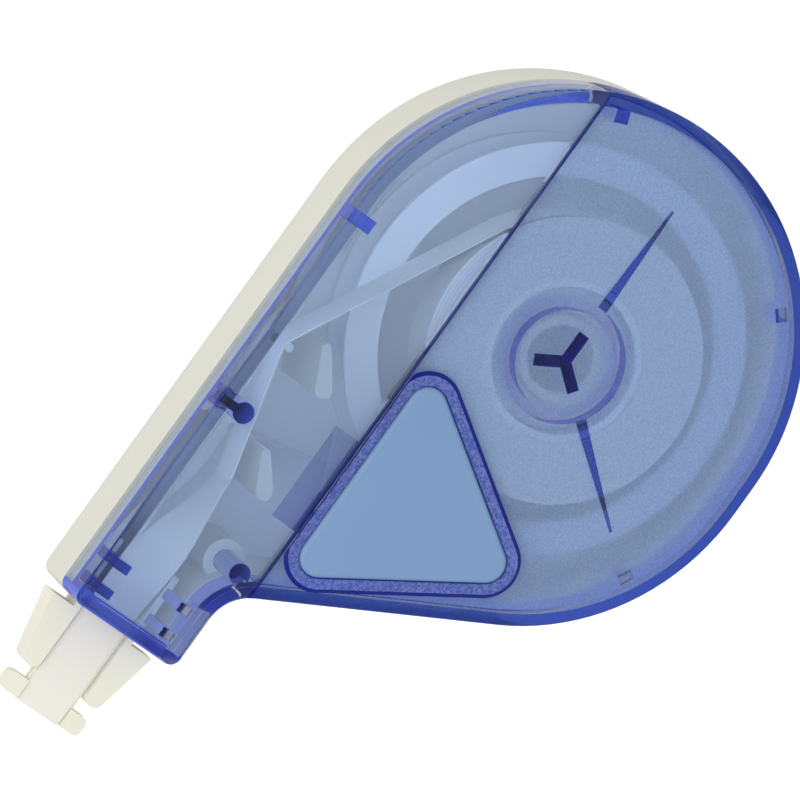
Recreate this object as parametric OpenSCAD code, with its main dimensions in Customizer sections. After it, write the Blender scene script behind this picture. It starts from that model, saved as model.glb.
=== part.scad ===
// Correction tape dispenser with coaxial reels and a sideways tip.
// The origin is the reel axis on the back face. +X runs to the round end, +Y to the
// straight edge, and +Z up through the clear front covers.

/* [Case] */
// Radius of the two arcs that round the reel end
round_r = 24.8; // [24:0.1:28]
// Distance between the centres of the two arcs
round_span = 3; // [1:0.25:6]
// Middle of the round end, along X from the reel axis
round_x = -0.7; // [-2:0.05:1]
// Middle of the round end, along Y from the reel axis
round_y = 1.55; // [0.8:0.05:2]
// Distance from the reel axis to the end of the neck
neck_reach = 45.2; // [43:0.1:50]
// Width of the neck across its end
neck_w = 12.2; // [11.6:0.1:13.5]
// Slope of the shoulder between the neck and the round end
shoulder_angle = 62.6; // [56:0.2:66]
// Radius of the hollow between the neck and the shoulder
shoulder_fillet = 4.5; // [3:0.25:6]
// Radius of the two corners at the end of the neck
neck_corner_r = 1.1; // [0.8:0.1:2.5]
// Thickness of the whole case
case_t = 15.5; // [15.5:0.1:18]
// Thickness of the side walls
wall_t = 1.5; // [1.2:0.1:1.8]
// Thickness of the front panel
panel_t = 1.5; // [1.2:0.1:1.6]
// Thickness of the back panel
floor_t = 1.5; // [1.2:0.1:1.6]
// Rounding of the front edge
front_fillet = 0.8; // [0.5:0.1:0.9]
// Rounding of the back edge
back_fillet = 2; // [1.2:0.1:2.4]
// Height of the back shell up to the parting line
part_z = 8.7; // [8.2:0.1:9.2]
// Height of the lip that the back shell has inside the covers
lip_h = 1.9; // [1.2:0.1:2.4]
// Gap between the lip and the covers
lip_gap = 0.1; // [0.05:0.05:0.2]
// Distance from the reel axis to the seam between the two covers
seam_y = 12.4; // [11.6:0.1:13]
// Width of the seam between the two covers
seam_gap = 0.2; // [0.1:0.05:0.4]

/* [Front covers] */
// Width of the polished rim round the front face
rim_w = 1.25; // [1:0.05:1.4]
// Height of the front face above that rim
rim_drop = 0.12; // [0.05:0.01:0.2]
// Length of the lap tongue under the window
tongue_l = 10.4; // [8:0.2:12]
// Reach of the lap tongue beyond the seam
tongue_reach = 2.3; // [1.5:0.1:2.4]
// Thickness of the lap tongue
tongue_t = 0.8; // [0.6:0.1:1.2]
// Middle of the lap tongue along X
tongue_x = -22.8; // [-24:0.2:-21]
// Inner radius of the hub ring under the cover
hub_ring_r = 5; // [4.8:0.1:5.4]
// Wall of the hub ring
hub_ring_wall = 1.1; // [0.8:0.1:1.4]
// Width of the arms of the centring post
arm_w = 1.2; // [0.8:0.1:1.6]
// Length of the centring post below the panel
post_l = 5; // [3:0.25:6]
// Thickness of the two stiffening ribs at the hub ring
rib_w = 1.1; // [0.8:0.1:1.4]
// Depth of the two stiffening ribs
rib_h = 0.25; // [0.15:0.05:0.25]
// Reach of the stiffening ribs from the reel axis
rib_reach = 17.6; // [14:0.2:19]
// Width of the snap lugs
lug_w = 1.4; // [1:0.1:2]
// Reach of the snap lugs from the wall
lug_reach = 1.3; // [0.8:0.1:1.4]
// Radius of the two assembly pins
pin_r = 1.05; // [0.9:0.05:1.2]
// Wall of the sockets that take the assembly pins
socket_wall = 1; // [0.8:0.1:1.2]
// Gap round the assembly pins
pin_gap = 0.08; // [0.05:0.01:0.12]
// Thickness of the clip ribs in the neck
clip_t = 1; // [0.8:0.1:1.2]
// Distance between the two rows of clip ribs
clip_pitch = 2.85; // [2.4:0.05:3.2]

/* [Thumb pad] */
// Length of the side of the pad beside the seam
pad_base = 21.4; // [19:0.2:22]
// Height of the pad from that side to its point
pad_h = 18.1; // [15:0.1:19]
// Middle of the pad along X
pad_x = -19.9; // [-21:0.1:-19]
// Gap between the seam and the pad
pad_seam_gap = 1.25; // [0.8:0.05:4]
// Radius of the corners of the pad
pad_corner_r = 2; // [1.6:0.1:2.6]
// Height of the pad above the cover
pad_rise = 0.5; // [0.2:0.05:0.8]
// Depth of the recess that the pad sits in
pad_recess = 0.6; // [0.4:0.05:0.7]
// Gap round the pad
pad_gap = 0.1; // [0.05:0.05:0.3]
// Width of the raised frame round the pad
frame_w = 1.4; // [1:0.1:1.8]
// Height of the raised frame
frame_h = 0.25; // [0.1:0.05:0.4]
// Width of the slope at the outside of the frame
frame_slope = 0.4; // [0.1:0.05:0.6]

/* [Reels] */
// Width of the correction tape
tape_w = 5; // [4.2:0.1:5]
// Outer radius of the full supply roll
roll_r = 14; // [12:0.1:14.6]
// Outer radius of the supply core
core_r = 8; // [7.6:0.1:8.6]
// Radius of the supply core's flange
supply_flange_r = 12.5; // [10:0.25:13.5]
// Reach of the take-up flanges beyond the drum that winds up the used tape
flange_rim = 2.5; // [2:0.1:4]
// Wall of that drum
drum_wall = 0.8; // [0.6:0.1:1]
// Thickness of the used tape on the drum
winding_t = 0.8; // [0.3:0.1:1.5]
// Gap between the take-up flanges and the snap lugs
flange_gap = 0.2; // [0.1:0.05:1]
// Thickness of the reel flanges
flange_t = 0.6; // [0.5:0.05:0.8]
// Width of the spokes inside the drum
spoke_w = 2.6; // [1.6:0.1:4]
// Outer radius of the spindle on the back shell
spindle_r = 4.2; // [4:0.05:4.3]
// Radius of the bore in the spindle
spindle_bore_r = 3.3; // [3:0.05:3.4]
// Running gap round the spindle and between the reels
run_gap = 0.15; // [0.1:0.05:0.2]
// Wall of the take-up hub
hub_wall = 1.5; // [1.2:0.1:1.6]
// Thickness of the rubber clutch ring
clutch_t = 0.5; // [0.4:0.05:0.8]

/* [Tip] */
// Reach of the tip's edge from the end of the neck
tip_reach = 11.2; // [10:0.1:13]
// Width across the guards where they leave the neck
guard_w = 12; // [11:0.1:12.2]
// Width across the guards at their ends
guard_end_w = 9.3; // [8.8:0.1:10]
// Length of the guards outside the neck
guard_l = 7.8; // [6:0.1:8.2]
// Gap between the guards and the end of the neck
guard_gap = 0.8; // [0.3:0.1:1.2]
// Height of the guards
guard_h = 3.4; // [3:0.1:4]
// Rounding of the ends of the guards
guard_round = 0.8; // [0.3:0.1:0.9]
// Width of the tabs beside the tape at the tip
tab_w = 2.1; // [1.6:0.1:2.4]
// Length of those tabs
tab_l = 2; // [1.6:0.1:2.4]
// Rounding of the corners of those tabs
tab_round = 0.6; // [0.2:0.1:0.8]
// Thickness of the blade under the tape
blade_t = 1; // [0.8:0.1:1.2]
// Thickness of the tape and its film
film_t = 0.12; // [0.1:0.01:0.2]

/* [Hidden] */
$fn = 96;

// Colours of the mouldings
clear_blue = [0.35, 0.45, 0.75, 0.55];
frosted_blue = [0.5, 0.6, 0.75, 0.7];
pad_blue = [0.5, 0.62, 0.77];
cream = [0.85, 0.85, 0.81];
film_white = [0.91, 0.91, 0.87];
film_clear = [0.8, 0.82, 0.85];
rubber_grey = [0.25, 0.25, 0.27];
spring_steel = [0.7, 0.71, 0.73];

// Outline of the case, walked with the inside on the left
arc_a = [round_x + round_span / 2, round_y];
arc_b = [round_x - round_span / 2, round_y];
top_y = round_y + round_r;
end_x = -neck_reach;
neck_y = top_y - neck_w;
neck_mid_y = (top_y + neck_y) / 2;
shoulder_dir = [cos(shoulder_angle), -sin(shoulder_angle)];
shoulder_out = [-sin(shoulder_angle), -cos(shoulder_angle)];
shoulder_end = arc_b + round_r * shoulder_out;
kink = shoulder_end - shoulder_dir * (neck_y - shoulder_end[1]) / sin(shoulder_angle);
kink_centre = [kink[0] - shoulder_fillet * tan(shoulder_angle / 2), neck_y - shoulder_fillet];
case_span = neck_reach + 2 * round_r;

// Levels of the case
panel_z = case_t - panel_t;
panel_mid = case_t - panel_t / 2;
floor_mid = floor_t / 2;
lip_z = part_z + lip_h;
lip_in = wall_t / 2;
corner_min = 0.2;
rim_z = case_t - rim_drop;

// Levels and radii of the reels
flange_r = round_r - round_y - wall_t - lug_reach - flange_gap;
drum_r = flange_r - flange_rim;
hub_pad_h = 0.3;
pad_z = floor_t + hub_pad_h;
drum_z = pad_z + run_gap;
wind_z = drum_z + flange_t;
tape_play = 0.1;
wind_top = wind_z + tape_w + 2 * tape_play;
drum_top = wind_top + flange_t;
roll_gap = 0.3;
roll_top = panel_z - roll_gap;
roll_z = roll_top - tape_w;
supply_z = roll_z - flange_t;
clutch_z = supply_z - run_gap - clutch_t;
hub_r = spindle_r + run_gap;
hub_out = hub_r + hub_wall;
core_bore = hub_out + 2 * run_gap;
core_rim = 0.8;
shelf_t = 1.6;
shelf_z = supply_z + shelf_t;
spring_h = 1;
spring_t = 0.25;
spring_rim = 0.3;
spring_r = core_r - core_rim;
cap_z = shelf_z + run_gap + spring_h;
cap_t = 0.6;
cap_top = cap_z + cap_t;
spindle_top = cap_top + 1;
shoulder_t = 0.8;
spokes = 4;
spoke_angle = 92;
spoke_t = 1.2;
fit_gap = 0.04;
over = 1;

// Sideways tip: the feed strand lies above the blade and the return strand below it
tip_x = end_x - tip_reach;
guard_x = end_x - guard_l;
tip_gap = 0.25;
guard_top = part_z - tip_gap;
guard_z = guard_top - guard_h;
guard_floor = 1;
tape_drop = 0.9;
blade_top = guard_top - tape_drop;
blade_z = blade_top - blade_t;
tip_inner_w = 7;
mouth_w = tip_inner_w + 2 * tip_gap;
rail_w = 0.7;
rail_l = 7;
rail_x = end_x + rail_l;
blade_root = 1;
blade_x = end_x + blade_root;
edge_r = 0.3;
tab_h = 1.9;
tab_root = 0.2;

// Posts on the back shell: a round one by the wall for the feed strand, and two tapered ones,
// the second of which turns the return strand
feed_post_x = -14.2;
feed_post_drop = 3.1;
feed_turn = [feed_post_x, top_y - feed_post_drop];
keep_post_x = -12.2;
keep_post_drop = 6.2;
keep_post_run = [-3.4, -2.2];
keep_post = [keep_post_x, top_y - keep_post_drop];
return_post_x = -23.6;
return_post_drop = 7.4;
return_post_run = [-3, -2.1];
return_turn = [return_post_x, top_y - return_post_drop];
post_thin = 0.45;
post_thick = 0.85;

// Clip ribs, assembly pins, snap lugs and the hub in the covers
clip_seat = 0.05;
clip_grip = 0.5;
clip_clear = 0.2;
clip_first = 2.3;
clip_x = [end_x + clip_first, end_x + clip_first + clip_pitch];
socket_floor = 0.8;
socket_top = roll_z - roll_gap;
pin_end = floor_t + 2;
pin_web = 0.9;
pin_inset = 1.6;
pin_lead = 7.5;
pin_reach = 10.9;
pins = [[feed_turn[0] - pin_lead, top_y - wall_t - pin_inset], [end_x + pin_reach, neck_y]];
top_lug_x = -0.6;
arc_a_lugs = [21.3, -48.2];
arc_b_lugs = [-119.5];
arm_angles = [0, 120, 233];
rib_angles = [0, 233];
lap_gap = 0.05;
frame_inset = 0.15;
tongue_root = 2;

// Steps of the swept shapes
bend_steps = 6;
twist_steps = 20;
edge_steps = 5;
corner_steps = 8;
round_steps = 60;

function unit(v) = v / norm(v);
function left(v) = [-v[1], v[0]];
function heading(v) = atan2(v[1], v[0]);
function on_circle(c, r, angle) = [c[0] + r * cos(angle), c[1] + r * sin(angle)];
function arc(c, r, from, to) =
    [for (k = [0:corner_steps]) on_circle(c, r, mix(from, to, k / corner_steps))];
function at_height(p, z) = [p[0], p[1], z];
function ease(t) = t * t * (3 - 2 * t);
function mix(from, to, t) = from + (to - from) * t;

// Strands of tape. Each row is a point on the middle of the tape and its direction across.
film_gap = 0.03;
strand_gap = 0.3;
twist_lead = 4;
edge_rest = 4;
bend_r = post_thin + film_gap + film_t / 2;
off_roll_r = roll_r + strand_gap + film_t / 2;
on_drum_r = drum_r + winding_t + strand_gap + film_t / 2;
twist_from = return_turn[0] - twist_lead;
feed_line = feed_turn - [twist_from, neck_mid_y];
feed_normal = heading(feed_turn) + acos((bend_r - off_roll_r) / norm(feed_turn));
feed_exit = 360 + heading(feed_line) - acos(bend_r / norm(feed_line));
return_normal = heading(return_turn) - acos((-bend_r - on_drum_r) / norm(return_turn));
feed_level = roll_z + tape_w / 2;
return_level = wind_z + tape_play + tape_w / 2;
blade_over = blade_top + film_gap + film_t / 2;
blade_under = blade_z - film_gap - film_t / 2;
edge_x = tip_x + film_t + film_gap + edge_r;
edge_z = blade_z + blade_t / 2;
edge_wrap = edge_r + film_gap + film_t / 2;
upright = [0, 0, 1];
sideways = [0, -1, 0];
function roll_row(r, angle, level) = [at_height(on_circle([0, 0], -r, angle), level), upright];
function post_row(p, r, angle, level) = [at_height(on_circle(p, r, angle), level), upright];
function twist_row(t, from_y, level, flat_z) = [
    [mix(twist_from, blade_x, t), mix(from_y, neck_mid_y, ease(t)), mix(level, flat_z, ease(t))],
    [0, -sin(90 * ease(t)), cos(90 * ease(t))]];
function flat_row(x, z) = [[x, neck_mid_y, z], sideways];
function edge_row(side, angle) =
    flat_row(edge_x - edge_wrap * sin(angle), edge_z + side * edge_wrap * cos(angle));
bend_share = [for (k = [0:bend_steps]) k / bend_steps];
twist_share = [for (k = [0:twist_steps]) k / twist_steps];
edge_angles = [for (k = [0:edge_steps]) (90 - edge_rest) * k / edge_steps];
return_y = return_turn[1] + bend_r;
feed_rows = concat(
    [roll_row(off_roll_r, feed_normal, feed_level)],
    [for (t = bend_share) post_row(feed_turn, -bend_r, mix(feed_normal, feed_exit, t), feed_level)],
    [for (t = twist_share) twist_row(t, neck_mid_y, feed_level, blade_over)],
    [flat_row(guard_x, blade_over)],
    [for (a = edge_angles) edge_row(1, a)]);
return_rows = concat(
    [for (k = [edge_steps:-1:0]) edge_row(-1, edge_angles[k])],
    [flat_row(guard_x, blade_under)],
    [for (t = twist_share) twist_row(1 - t, return_y, return_level, blade_under)],
    [for (t = bend_share) post_row(return_turn, bend_r, mix(90, return_normal, t), return_level)],
    [roll_row(on_drum_r, return_normal, return_level)]);

// The case outline as rows of [point on the outer face, direction inwards, depth up to which
// that direction holds, direction beyond it]. The last two keep the inside of a tight corner whole.
function arc_rows(c, r, from, to, steps, turn = [0, 0]) = [for (k = [0:steps])
    let (a = mix(from, to, k / steps)) [on_circle(c, r, a), -on_circle([0, 0], 1, a), r - corner_min, turn]];
function hollow_rows(c, r, from, to, steps) = [for (k = [0:steps])
    let (a = mix(from, to, k / steps)) [on_circle(c, r, a), on_circle([0, 0], 1, a), case_span, [0, 0]]];
function inwards(row, depth) = row[0] + row[1] * min(depth, row[2]) + row[3] * max(depth - row[2], 0);
corner_x = end_x + neck_corner_r;
case_rows = concat(
    arc_rows(arc_a, round_r, -90, 90, round_steps),
    arc_rows([corner_x, top_y - neck_corner_r], neck_corner_r, 90, 180, corner_steps, [1, -1]),
    arc_rows([corner_x, neck_y + neck_corner_r], neck_corner_r, 180, 270, corner_steps, [1, 1]),
    hollow_rows(kink_centre, shoulder_fillet, 90, 90 - shoulder_angle, corner_steps),
    arc_rows(arc_b, round_r, heading(shoulder_out), -90, round_steps / 3));

// Profiles of the two halves from the outer panel face to the inner one, with a lap at the
// parting line. Each point is [distance inwards, height].
quarter = [for (k = [0:edge_steps]) 90 * k / edge_steps];
cover_profile = concat(
    [[rim_w + rim_drop, case_t], [rim_w, rim_z]],
    [for (a = quarter) [front_fillet * (1 - sin(a)), rim_z - front_fillet * (1 - cos(a))]],
    [[0, part_z], [lip_in, part_z], [lip_in, lip_z], [wall_t, lip_z], [wall_t, panel_z]]);
back_profile = concat(
    [for (a = quarter) [back_fillet * (1 - sin(a)), back_fillet * (1 - cos(a))]],
    [[0, part_z], [lip_in + lip_gap, part_z], [lip_in + lip_gap, lip_z - lip_gap],
     [wall_t, lip_z - lip_gap], [wall_t, floor_t]]);

// One half of the case: a profile carried round the outline, closed by the two panel faces.
// Both faces are fans about a point that sees the whole outline.
fan = [arc_b[0] - round_r / 2, neck_mid_y];
module case_half(profile, upper) {
    n = len(case_rows);
    m = len(profile);
    pts = concat([for (row = case_rows) for (q = profile) at_height(inwards(row, q[0]), q[1])],
        [at_height(fan, profile[0][1]), at_height(fan, profile[m - 1][1])]);
    function at(i, j) = (i % n) * m + j;
    function facing(face) = upper ? [face[2], face[1], face[0]] : face;
    walls = [for (i = [0:n - 1]) for (j = [0:m - 2]) for (face = [
        [at(i, j), at(i, j + 1), at(i + 1, j + 1)], [at(i, j), at(i + 1, j + 1), at(i + 1, j)]])
        facing(face)];
    outer = [for (i = [0:n - 1]) facing([n * m, at(i, 0), at(i + 1, 0)])];
    inner = [for (i = [0:n - 1]) facing([n * m + 1, at(i + 1, m - 1), at(i, m - 1)])];
    polyhedron(pts, concat(walls, outer, inner));
}

// The front half between two heights on the plan
module cover_part(low, high) {
    intersection() {
        case_half(cover_profile, true);
        translate([-case_span, low, 0]) cube([2 * case_span, high - low, 2 * case_t]);
    }
}

// A flat post with a narrow round end at a point and a wide round end further on
module guide_post(start, run) {
    side = left(unit(run));
    translate(start) circle(post_thin);
    translate(start + run) circle(post_thick);
    polygon([start + side * post_thin, start + run + side * post_thick,
             start + run - side * post_thick, start - side * post_thin]);
}

module ring(outer, inner, z, h) {
    translate([0, 0, z]) difference() {
        cylinder(r = outer, h = h);
        translate([0, 0, -over]) cylinder(r = inner, h = h + 2 * over);
    }
}

// A strip of tape swept along rows of [point, direction across the width]
module strip(rows, t) {
    n = len(rows);
    function across(i) = unit(rows[i][1]);
    function tangent(i) = unit(rows[min(i + 1, n - 1)][0] - rows[max(i - 1, 0)][0]);
    function face(i) = unit(cross(tangent(i), across(i)));
    pts = [for (i = [0:n - 1]) for (k = [[-1, -1], [1, -1], [1, 1], [-1, 1]])
        rows[i][0] + across(i) * k[0] * tape_w / 2 + face(i) * k[1] * t / 2];
    sides = [for (i = [0:n - 2]) for (k = [0:3]) for (tri = [0, 1])
        tri == 0 ? [4 * i + k, 4 * i + (k + 1) % 4, 4 * i + 4 + (k + 1) % 4]
                 : [4 * i + k, 4 * i + 4 + (k + 1) % 4, 4 * i + 4 + k]];
    last = 4 * (n - 1);
    polyhedron(pts, concat(sides, [[2, 1, 0], [3, 2, 0],
        [last, last + 1, last + 2], [last, last + 2, last + 3]]));
}

// A rounded triangle with one side towards the seam, grown by a distance
module pad_outline(grow) {
    r = pad_corner_r + grow;
    base_y = seam_y - pad_seam_gap - pad_corner_r;
    half = pad_base / 2 - pad_corner_r;
    ends = [[pad_x - half, base_y], [pad_x, base_y - pad_h + 2 * pad_corner_r], [pad_x + half, base_y]];
    for (p = ends) translate(p) circle(r);
    polygon([for (i = [0:2]) for (p = [ends[i], ends[(i + 1) % 3]])
        p - r * left(unit(ends[(i + 1) % 3] - ends[i]))]);
}

// The raised frame round the pad, with a sloped outer edge, cut off beside the seam
module pad_frame() {
    intersection() {
        translate([0, 0, panel_mid]) hull() {
            linear_extrude(height = case_t - panel_mid) pad_outline(pad_gap + frame_w);
            linear_extrude(height = case_t + frame_h - panel_mid)
                pad_outline(pad_gap + frame_w - frame_slope);
        }
        translate([-case_span, seam_y - seam_gap / 2 - frame_inset - case_span, 0])
            cube([2 * case_span, case_span, 2 * case_t]);
    }
}

// Two rows of ribs from both walls of the neck, which clamp the rails of the tip
module clip_ribs(z, top, root) {
    low = neck_y + root;
    high = top_y - root;
    low_end = neck_mid_y - tip_inner_w / 2 + clip_grip;
    high_end = neck_mid_y + tip_inner_w / 2 - clip_grip;
    for (x = clip_x) {
        translate([x - clip_t / 2, low, z]) cube([clip_t, low_end - low, top - z]);
        translate([x - clip_t / 2, high_end, z]) cube([clip_t, high - high_end, top - z]);
    }
}

// A snap lug on the inner face of a wall, at an angle round an arc
module arc_lug(c, angle) {
    inner = round_r - wall_t;
    translate([c[0], c[1], lip_z]) rotate([0, 0, angle])
        translate([inner - lug_reach, -lug_w / 2, 0])
            cube([lug_reach + wall_t / 2, lug_w, panel_mid - lip_z]);
}

module back_shell() {
    socket_r = pin_r + pin_gap + socket_wall;
    color(cream) difference() {
        union() {
            case_half(back_profile, false);
            translate([0, 0, floor_mid]) cylinder(r = hub_out, h = pad_z - floor_mid);
            translate([0, 0, floor_mid]) cylinder(r = spindle_r, h = spindle_top - floor_mid);
            for (p = pins) translate(at_height(p, floor_mid))
                cylinder(r = socket_r, h = socket_top - floor_mid);
            clip_ribs(floor_mid, guard_z - clip_seat, wall_t / 2);
            translate(at_height(feed_turn, floor_mid)) cylinder(r = post_thin, h = roll_top - floor_mid);
            translate([0, 0, floor_mid]) linear_extrude(height = roll_top - floor_mid) {
                guide_post(keep_post, keep_post_run);
                guide_post(return_turn, return_post_run);
            }
        }
        translate([0, 0, floor_t + socket_floor]) cylinder(r = spindle_bore_r, h = case_t);
        for (p = pins) translate(at_height(p, floor_t + socket_floor))
            cylinder(r = pin_r + pin_gap, h = case_t);
        translate([end_x - over, neck_mid_y - mouth_w / 2, guard_z - tip_gap])
            cube([wall_t + 2 * over, mouth_w, case_t]);
    }
}

module window_cover() {
    color(clear_blue) {
        cover_part(seam_y + seam_gap / 2, case_span);
        for (p = pins) translate(at_height(p, pin_end)) cylinder(r = pin_r, h = panel_mid - pin_end);
        translate([pins[0][0] - pin_web / 2, pins[0][1], lip_z])
            cube([pin_web, top_y - pins[0][1] - wall_t / 2, panel_mid - lip_z]);
        clip_ribs(guard_top + clip_seat, panel_mid, wall_t + clip_clear);
        clip_ribs(lip_z, panel_mid, wall_t / 2);
        translate([top_lug_x - lug_w / 2, top_y - wall_t - lug_reach, lip_z])
            cube([lug_w, lug_reach + wall_t / 2, panel_mid - lip_z]);
    }
}

module grip_cover() {
    ring_z = cap_top + 2 * run_gap;
    arm_l = spindle_bore_r - run_gap;
    tongue_z = panel_z - lap_gap - tongue_t;
    tongue_y = seam_y - tongue_root;
    color(frosted_blue) {
        difference() {
            union() {
                cover_part(-case_span, seam_y - seam_gap / 2);
                pad_frame();
            }
            translate([0, 0, case_t - pad_recess]) linear_extrude(height = pad_recess + over)
                pad_outline(pad_gap);
        }
        ring(hub_ring_r + hub_ring_wall, hub_ring_r, ring_z, panel_mid - ring_z);
        for (a = arm_angles) rotate([0, 0, a]) translate([0, -arm_w / 2, panel_z - post_l])
            cube([arm_l, arm_w, panel_mid - panel_z + post_l]);
        for (a = rib_angles) rotate([0, 0, a]) translate([0, 0, panel_z - rib_h])
            linear_extrude(height = panel_mid - panel_z + rib_h)
                polygon([[hub_ring_r + hub_ring_wall / 2, -rib_w / 2], [rib_reach, -rib_w / 8],
                         [rib_reach, rib_w / 8], [hub_ring_r + hub_ring_wall / 2, rib_w / 2]]);
        for (a = arc_a_lugs) arc_lug(arc_a, a);
        for (a = arc_b_lugs) arc_lug(arc_b, a);
        translate([tongue_x - tongue_l / 2, tongue_y, tongue_z])
            cube([tongue_l, tongue_root + tongue_reach, tongue_t]);
        translate([tongue_x - tongue_l / 2, tongue_y, tongue_z + tongue_t / 2])
            cube([tongue_l, tongue_root - seam_gap, panel_mid - tongue_z - tongue_t / 2]);
    }
}

module thumb_pad() {
    color(pad_blue) translate([0, 0, case_t - pad_recess])
        linear_extrude(height = pad_recess + pad_rise) pad_outline(0);
}

module take_up_reel() {
    spoke_in = hub_out - hub_wall / 2;
    spoke_out = drum_r - drum_wall / 2;
    color(film_white) {
        ring(hub_out, hub_r, drum_z, cap_z - drum_z);
        ring(core_r, hub_r + hub_wall / 2, clutch_z - shoulder_t, shoulder_t);
        ring(drum_r, drum_r - drum_wall, drum_z, drum_top - drum_z);
        ring(flange_r, spoke_out, wind_top, flange_t);
        for (k = [0:spokes - 1]) rotate([0, 0, spoke_angle + k * 360 / spokes])
            translate([spoke_in, -spoke_w / 2, drum_z]) cube([spoke_out - spoke_in, spoke_w, spoke_t]);
    }
}

module take_up_flange() {
    color(cream) ring(flange_r, drum_r + fit_gap, drum_z, flange_t);
}

module take_up_winding() {
    color(film_clear) ring(drum_r + winding_t, drum_r + fit_gap, wind_z + tape_play, tape_w);
}

module clutch_ring() {
    color(rubber_grey) ring(core_r - fit_gap, hub_out + fit_gap, clutch_z, clutch_t);
}

module supply_core() {
    color(cream) difference() {
        union() {
            translate([0, 0, supply_z]) cylinder(r = core_r, h = roll_top - supply_z - run_gap);
            translate([0, 0, supply_z]) cylinder(r = supply_flange_r, h = flange_t);
        }
        translate([0, 0, supply_z - over]) cylinder(r = core_bore, h = case_t);
        translate([0, 0, shelf_z]) cylinder(r = spring_r, h = case_t);
    }
}

module tape_roll() {
    color(film_white) ring(roll_r, core_r + fit_gap, roll_z, tape_w);
}

// A sprung conical washer between the core's shelf and the cap
module clutch_spring() {
    low_r = spring_r - run_gap;
    high_r = hub_out + fit_gap;
    base = shelf_z + run_gap;
    color(spring_steel) rotate_extrude()
        polygon([[low_r, base], [low_r, base + spring_t], [high_r + spring_rim, cap_z],
                 [high_r, cap_z], [high_r, cap_z - spring_t]]);
}

module clutch_cap() {
    color(film_white) ring(spring_r - run_gap, hub_r, cap_z, cap_t);
}

// Rails inside the neck and the two guards beside the tape, in one moulding
module tip_guard() {
    half_in = tip_inner_w / 2 - rail_w;
    half_mid = tip_inner_w / 2 - rail_w / 2;
    root_x = end_x - guard_gap;
    bow_x = guard_x + guard_round;
    taper = atan2((guard_w - guard_end_w) / 2, guard_l);
    color(cream) translate([0, neck_mid_y, guard_z]) {
        for (side = [0, 1]) mirror([0, side, 0]) linear_extrude(height = guard_h)
            polygon(concat([[rail_x, half_in], [rail_x, tip_inner_w / 2], [root_x, tip_inner_w / 2],
                            [root_x, guard_w / 2]],
                           arc([bow_x, guard_end_w / 2 - guard_round], guard_round, 90 + taper, 180),
                           arc([bow_x, half_in + guard_round], guard_round, 180, 270)));
        translate([guard_x, -half_mid, 0]) cube([blade_x - guard_x, 2 * half_mid, guard_floor]);
    }
}

// The blade that carries the tape over its edge, with a tab on each side of the tape
module tip_blade() {
    half = tip_inner_w / 2 - rail_w - fit_gap;
    tab_y = half - tab_root;
    color(film_white) translate([0, neck_mid_y, 0]) {
        translate([0, half, 0]) rotate([90, 0, 0]) linear_extrude(height = 2 * half) {
            polygon([[blade_x, blade_z], [blade_x, blade_top], [guard_x, blade_top],
                     [edge_x, edge_z + edge_r], [edge_x, edge_z - edge_r], [guard_x, blade_z]]);
            translate([edge_x, edge_z]) circle(edge_r);
        }
        for (side = [0, 1]) mirror([0, side, 0]) translate([edge_x - edge_r, tab_y, edge_z - tab_h / 2])
            linear_extrude(height = tab_h)
                polygon(concat([[tab_l, 0], [0, 0]], arc([tab_round, tab_w - tab_round], tab_round, 180, 90),
                               arc([tab_l - tab_round, tab_w - tab_round], tab_round, 90, 0)));
    }
}

// Feed strand: off the roll, over the post by the wall, then flat onto the blade with a quarter twist
module feed_tape() {
    color(film_white) strip(feed_rows, film_t);
}

// Return strand: from under the blade with a quarter twist, round its tapered post to the drum
module return_tape() {
    color(film_clear) strip(return_rows, film_t);
}

back_shell();
window_cover();
grip_cover();
thumb_pad();
take_up_reel();
take_up_flange();
take_up_winding();
supply_core();
tape_roll();
clutch_ring();
clutch_spring();
clutch_cap();
tip_guard();
tip_blade();
feed_tape();
return_tape();
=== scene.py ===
# %% [markdown]
# # A correction tape, dressed for its picture
#
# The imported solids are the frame: every piece stays where the solids say, in metres. This lesson
# gives the mouldings smooth edges, makes the finishes of clear, frosted and opaque plastic, and
# sets the object on a pale table under soft light.

# %% Load the frame
import math

import bpy
from mathutils import Matrix, Vector


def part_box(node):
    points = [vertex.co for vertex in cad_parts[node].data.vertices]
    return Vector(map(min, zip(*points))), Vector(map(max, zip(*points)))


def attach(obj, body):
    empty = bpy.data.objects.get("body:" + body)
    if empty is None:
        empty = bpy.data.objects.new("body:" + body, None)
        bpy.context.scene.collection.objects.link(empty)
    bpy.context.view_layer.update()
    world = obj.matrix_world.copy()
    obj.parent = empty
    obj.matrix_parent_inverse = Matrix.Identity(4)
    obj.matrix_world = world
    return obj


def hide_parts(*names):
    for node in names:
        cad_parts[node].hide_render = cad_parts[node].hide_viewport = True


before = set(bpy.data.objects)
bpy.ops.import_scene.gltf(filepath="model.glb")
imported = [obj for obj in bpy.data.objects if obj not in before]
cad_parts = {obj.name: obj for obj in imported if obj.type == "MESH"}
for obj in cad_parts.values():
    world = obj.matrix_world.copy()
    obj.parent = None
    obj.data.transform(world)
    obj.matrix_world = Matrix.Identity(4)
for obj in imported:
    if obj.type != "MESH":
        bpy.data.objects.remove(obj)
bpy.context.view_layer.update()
scene = bpy.context.scene
scene.view_settings.view_transform = "Standard"
MM = 0.001

# %% [markdown]
# ## The camera
#
# The photo looks down on the clear front, tipped by 20 degrees towards the straight edge, with a
# long lens. The picture is turned, so the neck points to the lower left corner. A camera could be
# turned by three angles, but here its three directions are built from the tilt and that turn,
# because then its place follows from one point that the photo shows: the middle of the round end.

# %% Make the camera
TILT = math.radians(20.27)
TURN = math.radians(54.26)
DISTANCE = 593 * MM
PIXELS_PER_MM = 10.54
FRAME_PIXELS = 800
SENSOR_MM = 36
ROUND_MIDDLE = Vector((-0.7, 1.55, 15.5)) * MM
ROUND_PIXEL = (552.3, 361.3)

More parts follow.
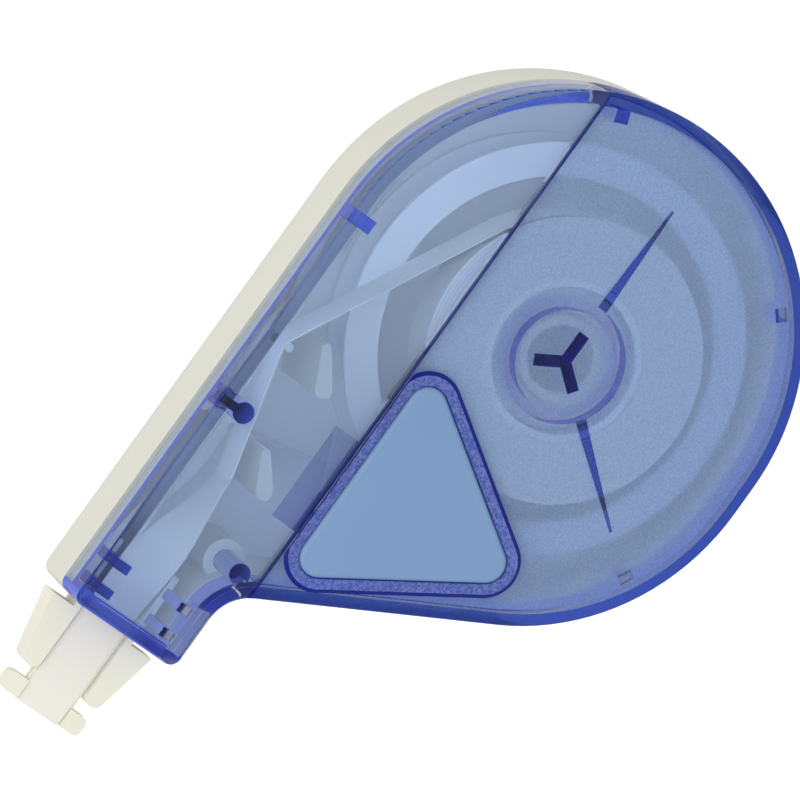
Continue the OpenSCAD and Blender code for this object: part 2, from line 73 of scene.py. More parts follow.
back = Vector((0, math.sin(TILT), math.cos(TILT)))
across = Vector((0, math.cos(TILT), -math.sin(TILT)))
right = Vector((math.cos(TURN), 0, 0)) - math.sin(TURN) * across
up = Vector((math.sin(TURN), 0, 0)) + math.cos(TURN) * across
offset_right = (ROUND_PIXEL[0] - FRAME_PIXELS / 2) / PIXELS_PER_MM * MM
offset_up = (FRAME_PIXELS / 2 - ROUND_PIXEL[1]) / PIXELS_PER_MM * MM
eye = ROUND_MIDDLE - offset_right * right - offset_up * up + DISTANCE * back

camera_data = bpy.data.cameras.new("photo_camera")
camera_data.sensor_width = SENSOR_MM
camera_data.lens = SENSOR_MM * PIXELS_PER_MM * (DISTANCE / MM) / FRAME_PIXELS
camera = bpy.data.objects.new("photo_camera", camera_data)
scene.collection.objects.link(camera)
turn = Matrix((right, up, back)).transposed()
camera.matrix_world = Matrix.Translation(eye) @ turn.to_4x4()
scene.camera = camera
print("lens mm", round(camera_data.lens, 1), "eye mm", [round(v / MM, 1) for v in eye])

# %% [markdown]
# ## Helpers for the finishes
#
# Colours are written as the hex codes that a picture program shows, and one function turns them
# into the linear values that the renderer works with. Another adds one shader node with its
# settings and links, so a finish reads as a short list of nodes.

# %% Define the helpers
def linear(code):
    """An sRGB hex code as linear RGBA."""
    parts = [int(code[i:i + 2], 16) / 255 for i in (1, 3, 5)]
    return [c / 12.92 if c <= 0.04045 else ((c + 0.055) / 1.055) ** 2.4 for c in parts] + [1]


def add_node(tree, kind, settings, links):
    """Adds one shader node, sets its values, and joins its inputs."""
    made = tree.nodes.new(kind)
    for name, value in settings.items():
        if name in made.inputs:
            made.inputs[name].default_value = value
        else:
            setattr(made, name, value)
    for name, socket in links.items():
        tree.links.new(socket, made.inputs[name])
    return made


def empty_material(name):
    """A material with only an empty node tree, and that tree."""
    material = bpy.data.materials.new(name)
    material.use_nodes = True
    material.node_tree.nodes.clear()
    return material, material.node_tree


# The colour sockets of a Mix node.
MIX_A = 6
MIX_B = 7
MIX_RESULT = 2
print("white is", linear("#FFFFFF"))

# %% [markdown]
# ## The light
#
# A light tent gives the even, nearly shadowless light of a catalogue photo. It could be built
# from lamps all round, but the world does the same with less noise. The world is plain white
# where the camera sees it, also mirrored or through clear plastic. One large lamp above the
# straight edge draws the highlights.

# %% Light the tent
TENT_STRENGTH = 0.72
SEEN_STRENGTH = 1.0
LAMP_WIDTH = 0.5
LAMP_DEPTH = 0.35
LAMP_WATTS = 1.6
LAMP_PLACE = Vector((-0.12, 0.3, 0.5))

world = bpy.data.worlds.new("light_tent")
scene.world = world
world.use_nodes = True
tree = world.node_tree
tree.nodes.clear()
path = add_node(tree, "ShaderNodeLightPath", {}, {})
mirrored = add_node(tree, "ShaderNodeMath", {"operation": "MAXIMUM"},
                    {0: path.outputs["Is Camera Ray"], 1: path.outputs["Is Glossy Ray"]})
seen = add_node(tree, "ShaderNodeMath", {"operation": "MAXIMUM"},
                {0: mirrored.outputs[0], 1: path.outputs["Is Transmission Ray"]})
tent = add_node(tree, "ShaderNodeBackground",
                {"Color": linear("#FFFFFF"), "Strength": TENT_STRENGTH}, {})
white = add_node(tree, "ShaderNodeBackground",
                 {"Color": linear("#FFFFFF"), "Strength": SEEN_STRENGTH}, {})
sky = add_node(tree, "ShaderNodeMixShader", {},
               {0: seen.outputs[0], 1: tent.outputs[0], 2: white.outputs[0]})
add_node(tree, "ShaderNodeOutputWorld", {}, {"Surface": sky.outputs[0]})

key_data = bpy.data.lights.new("key_lamp", "AREA")
key_data.shape = "RECTANGLE"
key_data.size = LAMP_WIDTH
key_data.size_y = LAMP_DEPTH
key_data.energy = LAMP_WATTS
key = bpy.data.objects.new("key_lamp", key_data)
scene.collection.objects.link(key)
key.location = LAMP_PLACE
key.rotation_euler = (-LAMP_PLACE).to_track_quat("-Z", "Y").to_euler()
print("lamp", key_data.name)

# %% [markdown]
# ## The table
#
# The object lies on white paper that fades into the background. Plain white paper would render
# pale grey in this light, so the sheet glows a little, for the camera only: it then shows white
# where no shadow falls, and the soft shadow beside the object stays.

# %% Lay the table
TABLE_SIZE = 1.6
TABLE_DROP = 0.05 * MM
SHEET_GLOW = 0.45

bpy.ops.object.select_all(action="DESELECT")
bpy.ops.mesh.primitive_plane_add(size=TABLE_SIZE, location=(0, 0, 0))
table = bpy.context.object
table.name = "table"
table.location.z = -TABLE_DROP
bpy.ops.object.transform_apply(location=True)
paper, tree = empty_material("white_paper")
path = add_node(tree, "ShaderNodeLightPath", {}, {})
sheet = add_node(tree, "ShaderNodeBsdfDiffuse", {"Color": linear("#F2F2F2")}, {})
glow = add_node(tree, "ShaderNodeEmission",
                {"Color": linear("#FFFFFF"), "Strength": SHEET_GLOW}, {})
lit = add_node(tree, "ShaderNodeAddShader", {}, {0: sheet.outputs[0], 1: glow.outputs[0]})
look = add_node(tree, "ShaderNodeMixShader", {},
                {0: path.outputs["Is Camera Ray"], 1: sheet.outputs[0], 2: lit.outputs[0]})
add_node(tree, "ShaderNodeOutputMaterial", {}, {"Surface": look.outputs[0]})
table.data.materials.append(paper)
print("table", table.name)

# %% [markdown]
# ## Clear and frosted polystyrene
#
# The two covers are moulded from one blue-tinted clear polystyrene. A thin panel looks pale, and
# a wall, a rib or a pin seen end-on looks deep blue, because more plastic lies in the way. A
# volume that absorbs light could give this, but it needs one finish all round a piece, and the
# covers have several. So one function makes all the finishes, each with the tint of its own
# depth. Solid polystyrene has an IOR of 1.59. Here panels bend light less, so the reels behind
# them stay bright, and the faces of walls hardly bend it, so no light stays trapped in a wall.

# %% Define the tinted plastic
PANEL_IOR = 1.2
WALL_IOR = 1.02
GRAIN_DEPTH = 0.04 * MM
SPECK_FROM = 0.4
SPECK_TO = 0.64


def tinted_plastic(name, code, haze, roughness, ior, grain_mm, grain_strength, glint_speck_code=None):
    """Clear plastic with the tint of its depth, a haze, a moulded grain, and light specks of the
    grain painted in as glints.
    """
    material, tree = empty_material(name)
    place = add_node(tree, "ShaderNodeTexCoord", {}, {})
    grain = add_node(tree, "ShaderNodeTexNoise",
                     {"Scale": 1 / (grain_mm * MM), "Detail": 3.0, "Roughness": 0.6},
                     {"Vector": place.outputs["Object"]})
    bump = add_node(tree, "ShaderNodeBump", {"Strength": grain_strength, "Distance": GRAIN_DEPTH},
                    {"Height": grain.outputs["Fac"]})
    surface = add_node(tree, "ShaderNodeBsdfPrincipled",
                       {"Base Color": linear(code), "Roughness": roughness, "IOR": ior,
                        "Transmission Weight": 1 - haze}, {"Normal": bump.outputs["Normal"]})
    if glint_speck_code:
        specks = add_node(tree, "ShaderNodeMapRange",
                          {"From Min": SPECK_FROM, "From Max": SPECK_TO},
                          {"Value": grain.outputs["Fac"]})
        tone = add_node(tree, "ShaderNodeMix", {"data_type": "RGBA"},
                        {"Factor": specks.outputs["Result"]})
        tone.inputs[MIX_A].default_value = linear(code)
        tone.inputs[MIX_B].default_value = linear(glint_speck_code)
        tree.links.new(tone.outputs[MIX_RESULT], surface.inputs["Base Color"])
    add_node(tree, "ShaderNodeOutputMaterial", {}, {"Surface": surface.outputs["BSDF"]})
    return material


# %% [markdown]
# The window is polished outside, and a light haze on its underside veils the reels. The grip cover
# is sparked outside, whose sparkle is painted glints, light specks in its colour, and frosted
# inside, so its hub stays crisp. The sparks and the frost are drawn coarser than such a grain
# really is, so that they show at this size.

# %% Make the panels
# Polished: it mirrors the light tent, and hardly tints what lies behind it.
clear_styrene = tinted_plastic("clear_blue_polystyrene", "#F8FBFF", haze=0.01, roughness=0.03,
                               ior=PANEL_IOR, grain_mm=9.0, grain_strength=0.05)
# Slightly hazy: a pale blue veil over the reels, whose edges stay sharp.
milky_styrene = tinted_plastic("milky_blue_polystyrene", "#C4DCFF", haze=0.25, roughness=0.02,
                               ior=PANEL_IOR, grain_mm=9.0, grain_strength=0.05)
# Spark-eroded mould: a fine grain, whose sparkle is painted in as light specks, painted glints.
sparkle_styrene = tinted_plastic("sparked_blue_polystyrene", "#C4D2EA", haze=0.01, roughness=0.12,
                                 ior=PANEL_IOR, grain_mm=0.15, grain_strength=0.2,
                                 glint_speck_code="#FAFDFF")
# Frosted: the reels behind it show only as soft light and dark rings.
frosted_styrene = tinted_plastic("frosted_blue_polystyrene", "#B9CFEE", haze=0.45, roughness=0.36,
                                 ior=PANEL_IOR, grain_mm=0.28, grain_strength=0.14)
# The raised band round the pad: deep blue, with coarse grain specks painted light as glints.
band_styrene = tinted_plastic("frosted_blue_band", "#4C5EB4", haze=0.55, roughness=0.3,
                              ior=PANEL_IOR, grain_mm=0.24, grain_strength=0.3,
                              glint_speck_code="#8898DC")
print("panels", clear_styrene.name, frosted_styrene.name, band_styrene.name)

# %% [markdown]
# Edges are the same plastic seen along its depth. They go from the pale blue of the seam, which is
# thin, to the near black of the gap between the covers, which is painted shade.

# %% Make the edges
# The joint between the covers and the lap on the shell: a pale line.
seam_styrene = tinted_plastic("blue_polystyrene_seam", "#CCDCFA", haze=0.03, roughness=0.05,
                              ior=WALL_IOR, grain_mm=6.0, grain_strength=0.05)
# The side wall of the window: a light blue band along the straight edge.
wall_styrene = tinted_plastic("blue_polystyrene_wall", "#98B6FF", haze=0.04, roughness=0.05,
                              ior=WALL_IOR, grain_mm=6.0, grain_strength=0.05)
# The side wall of the grip cover, which is deeper: a strong blue rim.
edge_styrene = tinted_plastic("blue_polystyrene_edge", "#4C66D0", haze=0.04, roughness=0.05,
                              ior=WALL_IOR, grain_mm=6.0, grain_strength=0.05)
# Lugs, pins, clips and the lip of the window, seen end-on: bright cobalt.
cobalt_styrene = tinted_plastic("cobalt_polystyrene_edge", "#5676EC", haze=0.6, roughness=0.2,
                                ior=PANEL_IOR, grain_mm=2.0, grain_strength=0.05)
# The centring post and the sides of the ribs: dark navy.
navy_styrene = tinted_plastic("navy_polystyrene_edge", "#1430C8", haze=0.7, roughness=0.2,
                              ior=PANEL_IOR, grain_mm=2.0, grain_strength=0.05)
# The gap between the covers and the slopes round the pad: nearly black lines of painted shade.
shadow_styrene = tinted_plastic("painted_shade_polystyrene_seam", "#142080", haze=0.8, roughness=0.3,
                                ior=PANEL_IOR, grain_mm=2.0, grain_strength=0.05)
# The end of the hub ring: pale blue, a painted highlight where it catches the light.
painted_highlight_styrene = tinted_plastic("painted_highlight_blue_polystyrene", "#DCE8FF", haze=0.85, roughness=0.2,
                              ior=PANEL_IOR, grain_mm=2.0, grain_strength=0.05)
print("edges", seam_styrene.name, edge_styrene.name, navy_styrene.name)

# %% [markdown]
# ## Opaque plastics and film
#
# The back shell is cream ABS with a satin face, the tip is off-white acetal, and the pad is a
# matte blue sheet. All of them come from a mould with a fine grain, and none is of one flat
# colour, so one function gives them a slow drift between two close tones and a small bump.

# %% Make the opaque finishes
DRIFT_MM = 14
OPAQUE_IOR = 1.5
OPAQUE_BUMP = 0.25


def moulded_plastic(name, code, code_dark, roughness, grain_mm, grain_height_mm):
    """Opaque plastic with a soft colour drift and a fine moulded grain."""
    material, tree = empty_material(name)
    place = add_node(tree, "ShaderNodeTexCoord", {}, {})
    drift = add_node(tree, "ShaderNodeTexNoise", {"Scale": 1 / (DRIFT_MM * MM), "Detail": 2.0},
                     {"Vector": place.outputs["Object"]})
    tone = add_node(tree, "ShaderNodeMix", {"data_type": "RGBA"}, {"Factor": drift.outputs["Fac"]})
    tone.inputs[MIX_A].default_value = linear(code_dark)
    tone.inputs[MIX_B].default_value = linear(code)
    grain = add_node(tree, "ShaderNodeTexNoise", {"Scale": 1 / (grain_mm * MM), "Detail": 3.0},
                     {"Vector": place.outputs["Object"]})
    bump = add_node(tree, "ShaderNodeBump",
                    {"Strength": OPAQUE_BUMP, "Distance": grain_height_mm * MM},
                    {"Height": grain.outputs["Fac"]})
    surface = add_node(tree, "ShaderNodeBsdfPrincipled",
                       {"Roughness": roughness, "IOR": OPAQUE_IOR},
                       {"Base Color": tone.outputs[MIX_RESULT], "Normal": bump.outputs["Normal"]})
    add_node(tree, "ShaderNodeOutputMaterial", {}, {"Surface": surface.outputs["BSDF"]})
    return material


# Cream ABS: satin outside; the tops of the posts carry painted shade, and the inside is smoother
# and painted near white, as painted light.
cream_abs = moulded_plastic("cream_abs", "#DBDACE", "#D6D5C8", 0.42, 0.5, 0.01)
painted_shade_abs = moulded_plastic("painted_shade_cream_abs", "#C8C7BC", "#C0BFB4", 0.42, 0.5, 0.01)
smooth_painted_light_abs = moulded_plastic("smooth_painted_light_cream_abs", "#FAFAF4", "#F4F4EE", 0.3, 2.0, 0.005)
# Acetal, a slippery plastic: off-white and satin, with painted shade inside the neck.
acetal = moulded_plastic("off_white_acetal", "#E9E7D4", "#E3E1CE", 0.4, 0.6, 0.01)
painted_shade_guard_acetal = moulded_plastic("painted_shade_acetal", "#E0DFD2", "#DAD9CC", 0.4, 0.6, 0.01)
# The pad: matte, with a leathery grain that takes the shine off it.
pad_sheet = moulded_plastic("matte_blue_pad", "#7898C0", "#6F8EB6", 0.62, 0.35, 0.06)
# The reels: white polystyrene; the top of the upper flange is painted slightly greyer, as painted
# shade.
reel_styrene = moulded_plastic("white_reel_polystyrene", "#F8F8F4", "#F2F2EE", 0.45, 0.6, 0.01)
painted_shade_flange_styrene = moulded_plastic("painted_shade_flange_polystyrene", "#F0F0EC", "#E8E8E4", 0.45, 0.6, 0.01)
# Correction film: chalky white, with painted shade where it lies in the neck, and glossy without
# its coat.
tape_film = moulded_plastic("white_correction_film", "#EAE7DA", "#E4E1D4", 0.6, 0.8, 0.01)
painted_shade_film = moulded_plastic("painted_shade_correction_film", "#DAD8CC", "#D4D2C6", 0.5, 0.8, 0.01)
backing_film = moulded_plastic("pale_backing_film", "#D8DCE0", "#CDD2D8", 0.3, 0.8, 0.01)
# The ring of the clutch: matte dark rubber.
clutch_rubber = moulded_plastic("grey_clutch_rubber", "#46464A", "#3C3C40", 0.75, 0.4, 0.02)
print("opaque finishes", cream_abs.name, acetal.name, pad_sheet.name)

# %% [markdown]
# ## Wound tape and spring steel
#
# A roll shows the edges of its layers as fine rings round the reel axis. A wave texture draws
# them, coarser than the real film, so that they show at this size. The sprung washer has turning
# marks of the same kind.

# %% Make the wound tape and the steel
# A wave texture of scale 1 draws a ring every 0.314 units.
RING_SPACING = 0.314
LAYER_WOBBLE = 0.6
FILM_IOR = 1.45
FILM_ROUGHNESS = 0.55
TURNING_MM = 0.2
TURNING_DEPTH = 0.01 * MM


def wound_tape(name, code, code_gap, layer_mm):
    """Tape on a reel: rings round the reel axis, one for every few layers."""
    material, tree = empty_material(name)
    place = add_node(tree, "ShaderNodeTexCoord", {}, {})
    rings = add_node(tree, "ShaderNodeTexWave",
                     {"wave_type": "RINGS", "rings_direction": "Z",
                      "Scale": RING_SPACING / (layer_mm * MM),
                      "Distortion": LAYER_WOBBLE, "Detail": 2.0},
                     {"Vector": place.outputs["Object"]})
    tone = add_node(tree, "ShaderNodeMix", {"data_type": "RGBA"}, {"Factor": rings.outputs["Fac"]})
    tone.inputs[MIX_A].default_value = linear(code_gap)
    tone.inputs[MIX_B].default_value = linear(code)
    surface = add_node(tree, "ShaderNodeBsdfPrincipled",
                       {"Roughness": FILM_ROUGHNESS, "IOR": FILM_IOR},
                       {"Base Color": tone.outputs[MIX_RESULT]})
    add_node(tree, "ShaderNodeOutputMaterial", {}, {"Surface": surface.outputs["BSDF"]})
    return material


# The full roll is chalky white, and the used film is greyer, with darker gaps.
roll_layers = wound_tape("wound_correction_tape", "#E8E8E2", "#D8D8D4", 0.35)
used_layers = wound_tape("wound_backing_film", "#D4D8DE", "#B8BEC8", 0.3)

# Spring steel: a cool grey metal with fine turned rings.
spring_steel, tree = empty_material("spring_steel")
place = add_node(tree, "ShaderNodeTexCoord", {}, {})
turning = add_node(tree, "ShaderNodeTexWave",
                   {"wave_type": "RINGS", "rings_direction": "Z",
                    "Scale": RING_SPACING / (TURNING_MM * MM)},
                   {"Vector": place.outputs["Object"]})
bump = add_node(tree, "ShaderNodeBump", {"Strength": 0.2, "Distance": TURNING_DEPTH},
                {"Height": turning.outputs["Fac"]})
surface = add_node(tree, "ShaderNodeBsdfPrincipled",
                   {"Base Color": linear("#B8BAC0"), "Metallic": 1.0, "Roughness": 0.3},
                   {"Normal": bump.outputs["Normal"]})
add_node(tree, "ShaderNodeOutputMaterial", {}, {"Surface": surface.outputs["BSDF"]})
print("wound finishes", roll_layers.name, used_layers.name, spring_steel.name)

# %% [markdown]
# ## Smooth copies of the mouldings
#
# The solids come as loose flat triangles, which clear plastic would show as facets. Each visible
# moulding is copied, its doubles are merged, and its normals are smoothed over gentle angles and
# weighted by area, so flat faces stay flat and small roundings look round. Straight-edged pieces
# also get a small bevel, as every moulded edge has.

# %% Copy a moulding
MERGE_GAP = 0.001 * MM
SAME_PLANE_DEG = 1
BEVEL_FROM_DEG = 35
BEVEL_SEGMENTS = 3


def moulded_copy(node, name, material, body, smooth_deg=32, bevel_mm=0):
    """A merged and smoothed copy of a solid, which stands for it in the picture."""
    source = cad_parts[node]
    piece = source.copy()
    piece.data = source.data.copy()
    piece.name = name
    piece.data.name = name
    piece.parent = None
    piece.matrix_world = Matrix.Identity(4)
    scene.collection.objects.link(piece)
    bpy.ops.object.select_all(action="DESELECT")
    piece.select_set(True)
    bpy.context.view_layer.objects.active = piece
    bpy.ops.mesh.customdata_custom_splitnormals_clear()
    bpy.ops.object.mode_set(mode="EDIT")
    bpy.ops.mesh.select_all(action="SELECT")
    bpy.ops.mesh.remove_doubles(threshold=MERGE_GAP)
    if bevel_mm:
        bpy.ops.mesh.dissolve_limited(angle_limit=math.radians(SAME_PLANE_DEG))
    bpy.ops.object.mode_set(mode="OBJECT")
    if bevel_mm:
        edge = piece.modifiers.new("moulded_edge", "BEVEL")
        edge.width = bevel_mm * MM
        edge.segments = BEVEL_SEGMENTS
        edge.limit_method = "ANGLE"
        edge.angle_limit = math.radians(BEVEL_FROM_DEG)
        bpy.ops.object.modifier_apply(modifier="moulded_edge")
    bpy.ops.object.shade_smooth_by_angle(angle=math.radians(smooth_deg))
    weights = piece.modifiers.new("flat_faces", "WEIGHTED_NORMAL")
    weights.keep_sharp = True
    bpy.ops.object.modifier_apply(modifier="flat_faces")
    piece.data.materials.clear()
    piece.data.materials.append(material)
    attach(piece, body)
    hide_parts(node)
    print(name, "faces", len(piece.data.polygons))
    return piece


# %% [markdown]
# ## The case
#
# The covers sit on the back shell face to face. In the picture each cover ends a hair above the
# shell, so light can pass between them as it does in the real joint. The edge of the pad is soft,
# so it gets a wide bevel.

# %% Dress the case
PARTING_GAP = 0.03 * MM
LEVEL_SLACK = 0.01 * MM
PAD_BEVEL_MM = 0.5

back_moulding = moulded_copy("back_shell", "back_moulding", cream_abs, "case")
window_moulding = moulded_copy("window_cover", "window_moulding", clear_styrene, "case")
grip_moulding = moulded_copy("grip_cover", "grip_moulding", clear_styrene, "case")
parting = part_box("grip_cover")[0].z
for cover in (window_moulding, grip_moulding):
    for corner in cover.data.vertices:
        if abs(corner.co.z - parting) < LEVEL_SLACK:
            corner.co.z += PARTING_GAP
pad_moulding = moulded_copy("thumb_pad", "pad_moulding", pad_sheet, "case", bevel_mm=PAD_BEVEL_MM)

# %% [markdown]
# ## Sorting faces
#
# Which finish a face takes follows from where it is and which way it points. Faces could be
# picked by hand, but a rule says why each one has its finish. The round end and the straight edge
# give the depth of a face inside the wall, which several of the rules ask for.

# %% Define how faces are sorted
front_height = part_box("window_cover")[1].z
seam_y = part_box("window_cover")[0].y
mouth_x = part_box("window_cover")[0].x
PANEL_T = 1.5 * MM
WALL_T = 1.5 * MM
MARGIN = 0.1 * MM
SEAM_SLACK = 0.3 * MM
PANEL_SLACK = 0.05 * MM
HANG_DEPTH = 2 * MM
# The shares of the wall's thickness between which the lap lies.
LAP_FROM = 0.2
LAP_TO = 0.8
# The share of Z, or of Y, in the normal of a face that faces along that axis.
FACING = 0.9
# The share of Z below which a face is upright.
UPRIGHT = 0.5
round_r = 24.8 * MM
corner_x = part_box("grip_cover")[1].x
corner_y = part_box("window_cover")[1].y
round_centre = Vector((corner_x, corner_y, 0)) - Vector((round_r, round_r, 0))


def sort_faces(piece, finishes, choose):
    """Gives every face the finish that the rule picks for it, and counts them."""
    for finish in finishes[1:]:
        piece.data.materials.append(finish)
    slots = [finish.name for finish in finishes]
    counts = [0] * len(slots)
    for face in piece.data.polygons:
        face.material_index = slots.index(choose(face.center, face.normal).name)
        counts[face.material_index] += 1
    print(piece.name, list(zip(slots, counts)))


def on_seam(centre, normal):
    """True for the two faces that meet where the covers join."""
    return abs(normal.y) > FACING and abs(centre.y - seam_y) < SEAM_SLACK


def under_panel(centre):
    """True at the height of the underside of the front panel."""
    return abs(front_height - PANEL_T - centre.z) < PANEL_SLACK


def wall_depth(centre):
    """How far a point lies inside the outside of the round end or of the straight edge."""
    from_centre = Vector((max(centre.x - round_centre.x, 0), centre.y - round_centre.y))
    return round_r - (from_centre.length if centre.x > round_centre.x else from_centre.y)


def on_lap(centre):
    """True for the faces that lap the lip of the back shell, halfway into the wall."""
    return LAP_FROM * WALL_T < wall_depth(centre) < LAP_TO * WALL_T


def inner_form(centre, normal, reach):
    """True for the sides and undersides of lugs, pins and clip ribs, which hang inside the wall."""
    hangs_low = normal.z < -FACING and centre.z < front_height - HANG_DEPTH
    hanging = abs(normal.z) < UPRIGHT or hangs_low
    return hanging and WALL_T + MARGIN < wall_depth(centre) < reach


print("round centre mm", [round(v / MM, 2) for v in round_centre])

# %% [markdown]
# ## The window
#
# The underside of the panel carries the haze, so the pins, lugs and clip ribs, which grow out of
# the panel, stay dark and crisp. The bottom of the inner half of the wall shows through the clear
# top as a thin blue line along the straight edge.

# %% Sort the faces of the window
LUG_REACH = 4.6 * MM
NECK_X = -32 * MM
PIN_REACH = 14 * MM
CLIP_X = -39 * MM
CLIP_REACH = 10.5 * MM
LIP_RISE = 1 * MM
# The share of Z above which a face of the neck's end belongs to the top.
TOPSIDE = 0.1
# The share of Y above which the wall faces outwards.
OUTWARD = 0.3


def form_reach(centre):
    """How deep the forms inside the wall reach: clip ribs, then the pin, then lugs."""
    if centre.x > NECK_X:
        return LUG_REACH
    return PIN_REACH if centre.x > CLIP_X else CLIP_REACH


def window_face(centre, normal):
    """The end of the neck, the seam and lap, the forms inside, the underside, and the walls."""
    depth = wall_depth(centre)
    if centre.x < mouth_x + WALL_T + MARGIN and normal.z < TOPSIDE:
        return cobalt_styrene
    if on_seam(centre, normal) or (abs(normal.z) < UPRIGHT and on_lap(centre)):
        return seam_styrene
    if inner_form(centre, normal, form_reach(centre)):
        return cobalt_styrene
    if normal.z < -FACING and under_panel(centre):
        return milky_styrene
    if normal.z < -FACING and centre.z > parting + LIP_RISE and 0 < depth < WALL_T + MARGIN:
        return cobalt_styrene
    if abs(normal.z) > UPRIGHT or (normal.y > OUTWARD and depth < MARGIN):
        return clear_styrene
    return edge_styrene if depth > CLIP_REACH else wall_styrene


sort_faces(window_moulding, [clear_styrene, wall_styrene, seam_styrene, cobalt_styrene,
                             milky_styrene, edge_styrene], window_face)

# %% [markdown]
# ## The grip cover
#
# The front is sparked, and its underside is frosted. The centring post, the hub ring and the ribs
# hang below that underside, so they show through the frost. The band round the pad stands above
# the front with a sloped side, and a short tongue laps under the window.

# %% Sort the faces of the grip cover
POST_REACH = 3.4 * MM
RING_REACH = 6.4 * MM
RIB_REACH = 18 * MM
# Heights from the front: the top of the band, and where its slope starts.
BAND_TOP = 0.2 * MM
SLOPE_FROM = 0.02 * MM
# Depths under the front: the front itself, the recess of the pad, the hub and the ribs.
FRONT_SLACK = 0.03 * MM
RECESS_DEPTH = 0.9 * MM
HUB_FROM = 1.52 * MM
RIB_DEPTH = 1.8 * MM
# The share of Z above which a face is level, and below which it is a drafted side.
LEVEL = 0.97
DRAFTED = 0.75


def front_face(above, normal):
    """The band round the pad and its slope, the front, and the recess of the pad."""
    if above > BAND_TOP and normal.z > LEVEL:
        return band_styrene
    # The sloped side of the band carries painted shade.
    if above > SLOPE_FROM and normal.z < LEVEL:
        return shadow_styrene
    if abs(above) < FRONT_SLACK and normal.z > LEVEL:
        return sparkle_styrene
    if -RECESS_DEPTH < above < -FRONT_SLACK and normal.z > 0:
        return edge_styrene
    return None


def hub_face(above, reach, drafted):
    """The centring post, the hub ring and the ribs."""
    if above < -HUB_FROM and reach < POST_REACH:
        return navy_styrene
    if above < -HUB_FROM and reach < RING_REACH:
        # The level end of the hub ring carries a painted highlight.
        return cobalt_styrene if drafted else painted_highlight_styrene
    if -RIB_DEPTH < above < -HUB_FROM and reach < RIB_REACH:
        return navy_styrene if drafted else edge_styrene
    return None


def grip_face(centre, normal):
    """The seam, the lap tongue, the front, the frosted underside, the hub, lugs and edges."""
    above = centre.z - front_height
    drafted = abs(normal.z) < DRAFTED
    # The gap between the covers carries painted shade.
    if on_seam(centre, normal):
        return shadow_styrene
    if centre.y > seam_y + MARGIN:
        return edge_styrene
    if normal.z < -FACING and under_panel(centre):
        return frosted_styrene
    chosen = front_face(above, normal) or hub_face(above, math.hypot(centre.x, centre.y), drafted)
    if chosen:
        return chosen
    if centre.x > round_centre.x and inner_form(centre, normal, LUG_REACH):
        return cobalt_styrene
    return edge_styrene if drafted and normal.z > -UPRIGHT else clear_styrene


sort_faces(grip_moulding, [clear_styrene, edge_styrene, frosted_styrene, band_styrene,
                           navy_styrene, painted_highlight_styrene, sparkle_styrene, cobalt_styrene,
                           shadow_styrene], grip_face)

# %% [markdown]
# ## Inside the back shell
#
# The floor and the inner wall of the shell are smoother than the grained outside, and painted
# lighter, which is painted light, so they are brighter. The tops of the posts, which stand close
# under the window, carry painted shade, a darker copy of the cream, so that they don't outshine the
# floor.

# %% Sort the faces of the back shell
FLOOR_TOP = 2 * MM
post_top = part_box("back_shell")[1].z


def shell_face(centre, normal):
    """The floor and inner wall with painted light, the tops of the posts with painted shade, and
    the rest.
    """
    # The inner wall and the floor carry painted light, and the tops of the posts carry painted
    # shade.
    if normal.z < FACING:
        faces_axis = normal.x * centre.x + normal.y * centre.y < 0
        return smooth_painted_light_abs if faces_axis and centre.x > NECK_X else cream_abs
    if centre.z < FLOOR_TOP:
        return smooth_painted_light_abs
    return painted_shade_abs if centre.z > post_top - MARGIN else cream_abs


sort_faces(back_moulding, [cream_abs, smooth_painted_light_abs, painted_shade_abs], shell_face)

# %% [markdown]
# ## The tip, the strands and the drum
#
# The tip and the tape are bright where they stand out of the case. The same pieces go on inside the
# neck, where they carry painted shade, a darker copy of their finish, and so does the top of the
# drum's upper flange. The tip has rounded edges, and the blade is thin, so its bevel is small.

# %% Dress the tip, the strands and the drum
TIP_BEVEL_MM = 0.35
BLADE_BEVEL_MM = 0.12
STRAND_SMOOTH_DEG = 45
# The strand carries painted shade from the mouth of the neck to here.
PAINTED_SHADE_STRAND_END = NECK_X + 6 * MM
flange_z = 8.35 * MM
flange_inner_r = 16.5 * MM


def neck_face(centre, normal):
    """Bright outside the mouth of the neck, with painted shade inside it."""
    return acetal if centre.x < mouth_x else painted_shade_guard_acetal


def strand_face(centre, normal):
    """The strand carries painted shade only in the neck."""
    return painted_shade_film if mouth_x < centre.x < PAINTED_SHADE_STRAND_END else tape_film


def drum_face(centre, normal):
    """The upper flange of the drum, whose top carries painted shade, and the rest."""
    outside = math.hypot(centre.x, centre.y) > flange_inner_r
    on_flange = abs(centre.z - flange_z) < MARGIN and outside
    return painted_shade_flange_styrene if normal.z > FACING and on_flange else reel_styrene


tip_moulding = moulded_copy("tip_guard", "tip_moulding", acetal, "case", bevel_mm=TIP_BEVEL_MM)
blade_moulding = moulded_copy("tip_blade", "blade_moulding", acetal, "case",
                              bevel_mm=BLADE_BEVEL_MM)
feed_strand = moulded_copy("feed_tape", "feed_strand", tape_film, "case",
                           smooth_deg=STRAND_SMOOTH_DEG)
return_strand = moulded_copy("return_tape", "return_strand", backing_film, "case",
                             smooth_deg=STRAND_SMOOTH_DEG)
drum_moulding = moulded_copy("take_up_reel", "drum_moulding", reel_styrene, "take_up")
sort_faces(tip_moulding, [acetal, painted_shade_guard_acetal], neck_face)
sort_faces(blade_moulding, [acetal, painted_shade_guard_acetal], neck_face)
sort_faces(feed_strand, [tape_film, painted_shade_film], strand_face)
sort_faces(drum_moulding, [reel_styrene, painted_shade_flange_styrene], drum_face)

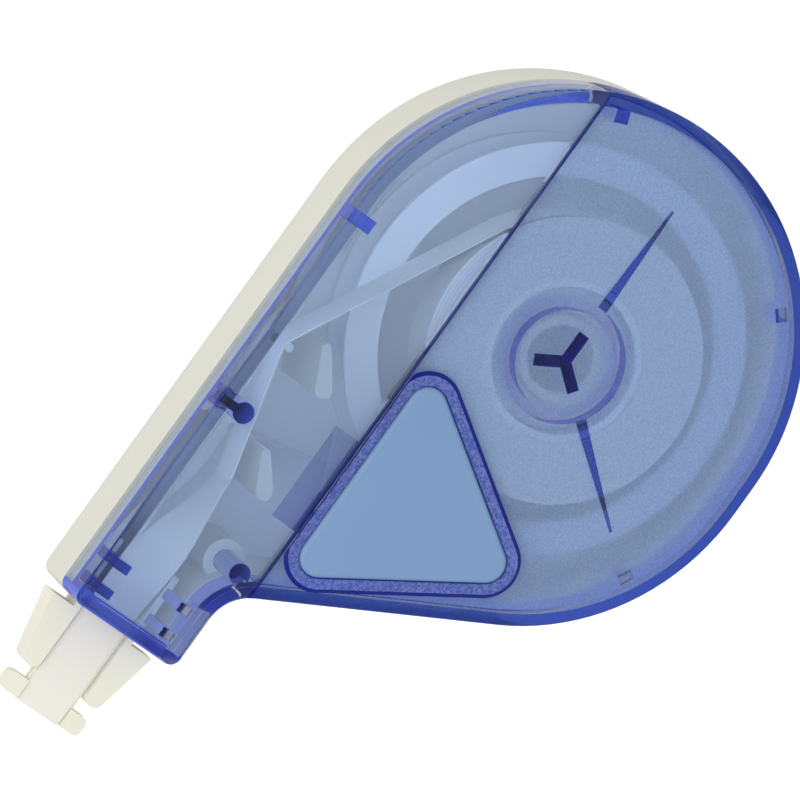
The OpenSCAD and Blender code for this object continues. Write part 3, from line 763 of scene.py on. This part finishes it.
# %% [markdown]
# ## The lead onto the roll
#
# The solid strand stops where it touches the roll. The real one goes on round it, so a curved
# strip carries it on from the end of the strand until it lies on the roll. A flat grid is bent
# round the reel axis point by point, which keeps its ends exactly on the strand and on the roll,
# and Solidify gives it the thickness of the film.

# %% Lead the feed strand onto the roll
WRAP_DEG = 80
WRAP_STEPS = 32
WRAP_T = 0.1 * MM
WRAP_LIFT = 0.07 * MM
WRAP_SMOOTH_DEG = 40
# The strip has come down onto the roll at this share of its length.
LANDING = 0.5
HALF_STRAND_T = 0.06 * MM

roll_low, roll_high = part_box("tape_roll")
strand_end = max((v.co for v in feed_strand.data.vertices), key=lambda co: co.x)
start_angle = math.atan2(strand_end.y, strand_end.x)
start_r = math.hypot(strand_end.x, strand_end.y) - HALF_STRAND_T
end_r = roll_high.x + WRAP_LIFT
bpy.ops.object.select_all(action="DESELECT")
bpy.ops.mesh.primitive_grid_add(x_subdivisions=WRAP_STEPS, y_subdivisions=1, size=2,
                                location=(0, 0, 0))
feed_wrap = bpy.context.object
feed_wrap.name = "feed_wrap"
for corner in feed_wrap.data.vertices:
    share = (corner.co.x + 1) / 2
    angle = start_angle - math.radians(WRAP_DEG) * share
    radius = start_r + (end_r - start_r) * min(1, share / LANDING)
    height = roll_low.z if corner.co.y < 0 else roll_high.z
    corner.co = (radius * math.cos(angle), radius * math.sin(angle), height)
skin = feed_wrap.modifiers.new("film", "SOLIDIFY")
skin.thickness = WRAP_T
skin.offset = 0
bpy.ops.object.modifier_apply(modifier="film")
bpy.ops.object.shade_smooth_by_angle(angle=math.radians(WRAP_SMOOTH_DEG))
feed_wrap.data.materials.append(tape_film)
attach(feed_wrap, "case")
print("feed wrap from", round(math.degrees(start_angle)), "degrees")

# %% [markdown]
# ## The reels
#
# The other pieces of the reels are turned forms with fine facets, so they need no smooth copy.
# They keep their own meshes and only take their finishes.

# %% Dress the reels
for node, material in (("take_up_flange", reel_styrene), ("take_up_winding", used_layers),
                       ("supply_core", reel_styrene), ("tape_roll", roll_layers),
                       ("clutch_ring", clutch_rubber), ("clutch_spring", spring_steel),
                       ("clutch_cap", reel_styrene)):
    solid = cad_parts[node]
    solid.data.materials.clear()
    solid.data.materials.append(material)
print("reels dressed")
